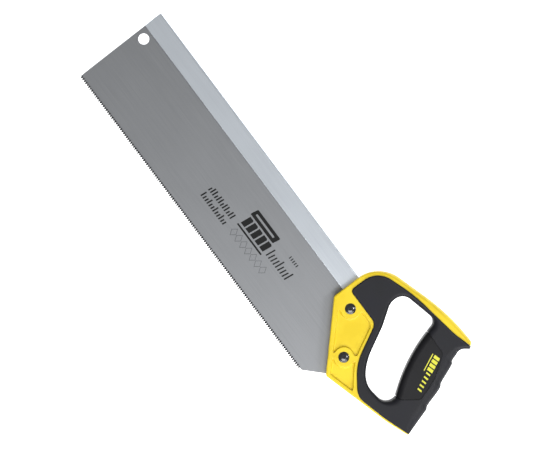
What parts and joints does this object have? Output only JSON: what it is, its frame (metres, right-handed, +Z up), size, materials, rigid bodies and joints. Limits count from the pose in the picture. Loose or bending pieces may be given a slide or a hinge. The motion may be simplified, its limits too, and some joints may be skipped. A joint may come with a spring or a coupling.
{
  "type": "back saw",
  "caption": "Back saw with a straight toothed steel blade, a folded steel spine and a closed two-colour plastic and rubber handle held by saw screws.",
  "frame": {"origin": "centre of the footprint at the underside of the handle, with the saw lying on its side", "axes": "+X along the teeth from the toe to the handle, +Y from the teeth to the spine, +Z up, square to the blade"},
  "size_m": [0.4642, 0.1484, 0.03],
  "materials": {
    "blade_steel": "fine ground, lacquered",
    "spine_steel": "bright, satin",
    "yellow_plastic": "moulded, semi-gloss",
    "black_rubber": "soft-touch, matt",
    "insert_rubber": "soft-touch, fine grain",
    "screw_black": "black, glossy"
  },
  "bodies": {
    "root": {"blade": "blade_steel", "spine": "spine_steel", "handle_core": "yellow_plastic", "grip_cover": "black_rubber", "grip_insert": "insert_rubber", "screw_upper": "screw_black", "screw_lower": "screw_black", "nut_upper": "screw_black", "nut_lower": "screw_black"}
  },
  "joints": []
}
